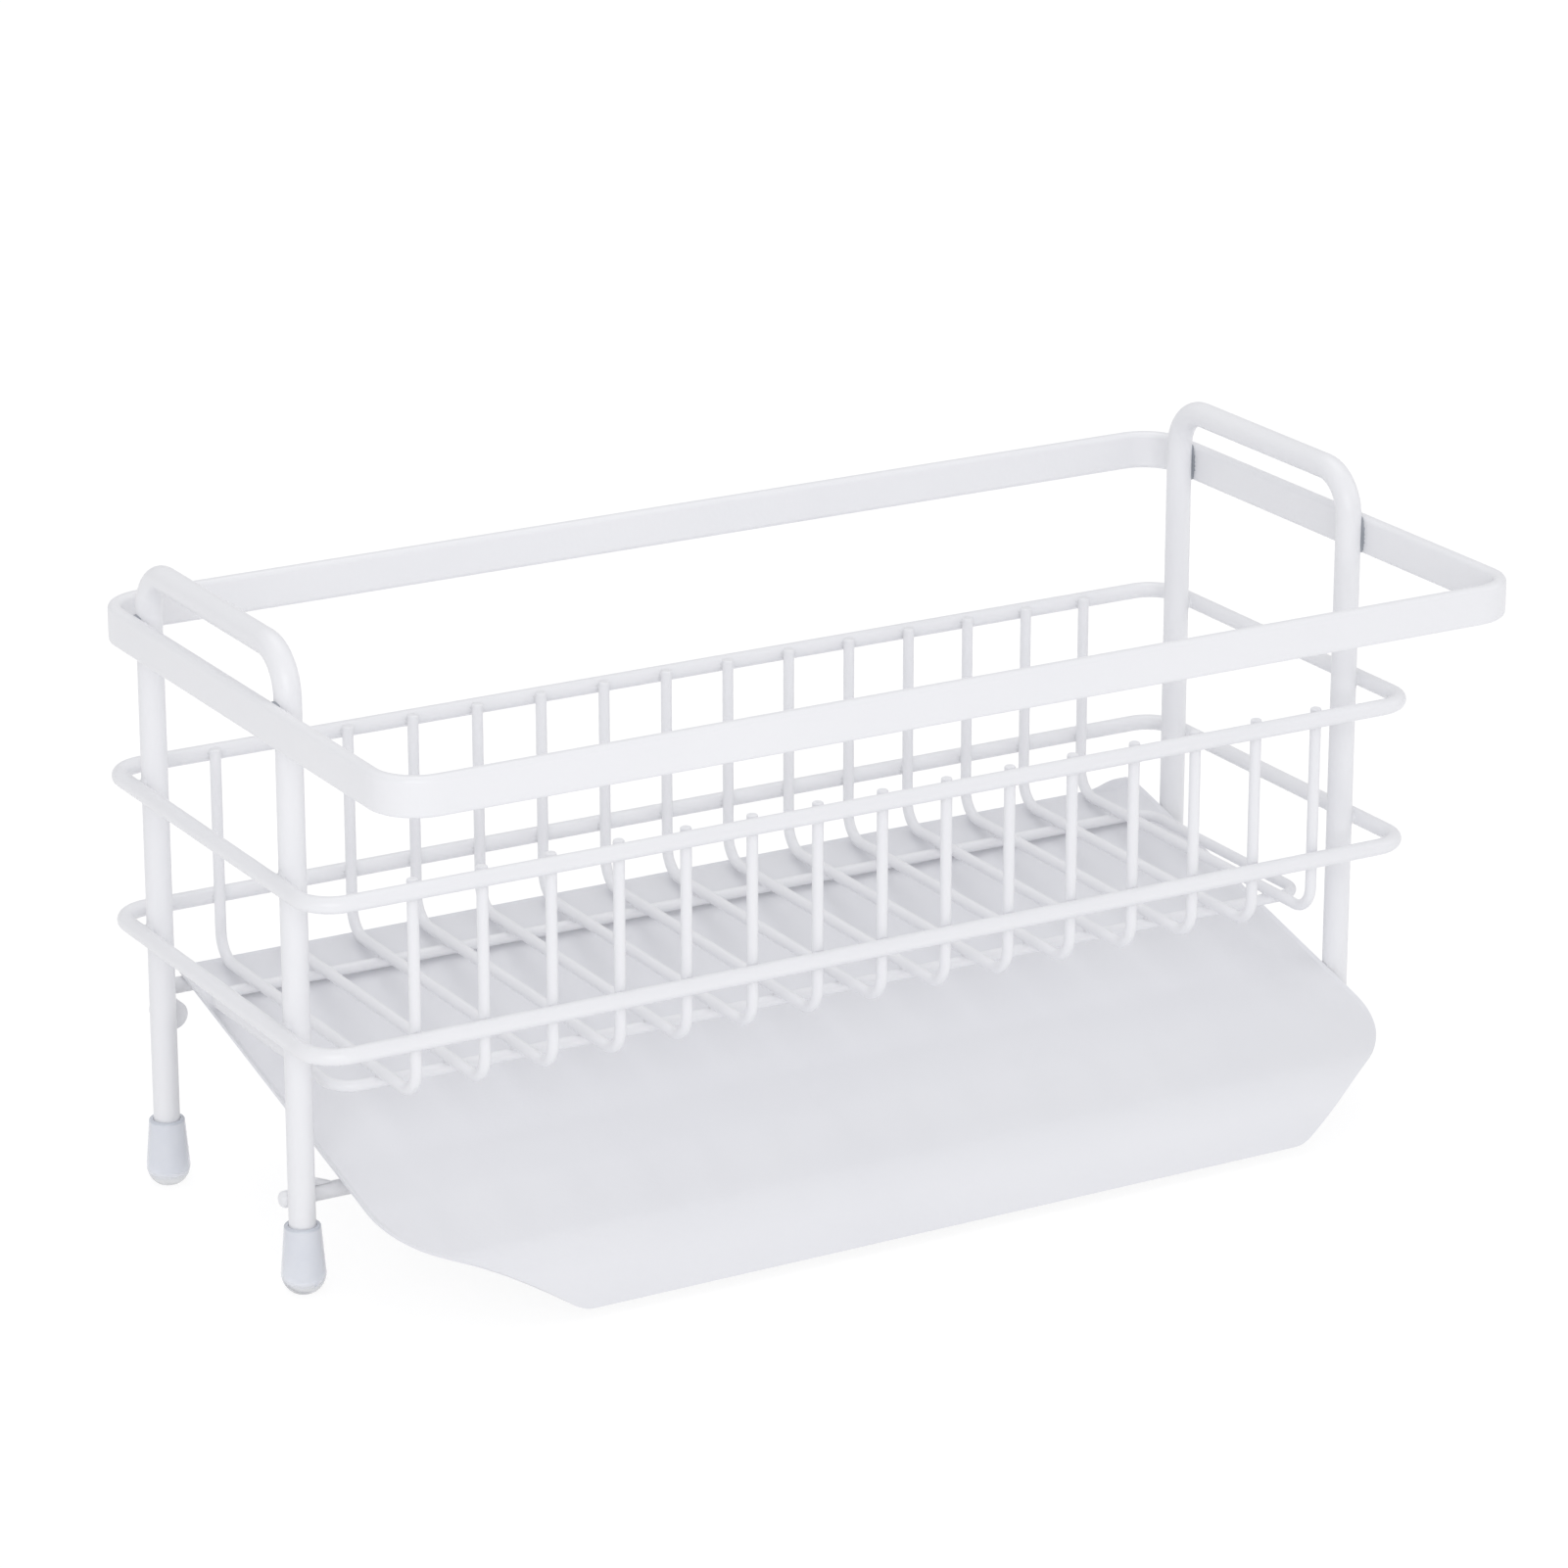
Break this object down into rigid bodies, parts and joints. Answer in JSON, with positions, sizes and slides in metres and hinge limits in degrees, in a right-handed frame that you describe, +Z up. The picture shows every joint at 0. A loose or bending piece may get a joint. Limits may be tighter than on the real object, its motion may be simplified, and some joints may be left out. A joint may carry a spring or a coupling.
{
  "type": "kitchen sink caddy",
  "caption": "Free-standing wire sink caddy with a flat top rail, a wire basket and a sloping drip tray that slides out on two cross rods, on soft clear feet.",
  "frame": {"origin": "on the worktop under the middle of the top rail, at the bottom centre of the object's box", "axes": "+X along the caddy to the right, +Y to the rear, +Z up; the drip tray slopes down towards -Y"},
  "size_m": [0.2856, 0.15, 0.1485],
  "materials": {
    "coated_wire": "white powder coat, satin, on round wire and flat bar",
    "coated_sheet": "white powder coat, satin, on thin pressed sheet",
    "clear_foot": "soft clear vinyl cap, glossy, faintly blue"
  },
  "bodies": {
    "rack": {"left_leg_frame": "coated_wire", "right_leg_frame": "coated_wire", "upper_basket_ring": "coated_wire", "lower_basket_ring": "coated_wire", "floor_ring": "coated_wire", "front_cross_rod": "coated_wire", "rear_cross_rod": "coated_wire", "left_rod_gusset": "coated_wire", "right_rod_gusset": "coated_wire", "left_rod_spacer": "coated_wire", "right_rod_spacer": "coated_wire", "grid_wire_01": "coated_wire", "grid_wire_02": "coated_wire", "grid_wire_03": "coated_wire", "grid_wire_04": "coated_wire", "grid_wire_05": "coated_wire", "grid_wire_06": "coated_wire", "grid_wire_07": "coated_wire", "grid_wire_08": "coated_wire", "grid_wire_09": "coated_wire", "grid_wire_10": "coated_wire", "grid_wire_11": "coated_wire", "grid_wire_12": "coated_wire", "grid_wire_13": "coated_wire", "grid_wire_14": "coated_wire", "grid_wire_15": "coated_wire", "top_rail": "coated_wire", "front_left_foot": "clear_foot", "front_right_foot": "clear_foot", "rear_left_foot": "clear_foot", "rear_right_foot": "clear_foot"},
    "tray": {"drip_tray": "coated_sheet", "left_tray_runner": "coated_sheet", "right_tray_runner": "coated_sheet"}
  },
  "joints": [
    {"name": "tray_slide", "type": "slide", "parent": "rack", "child": "tray", "axis": [0, -0.9681, -0.2504], "range_m": [-0.026, 0.008]}
  ]
}
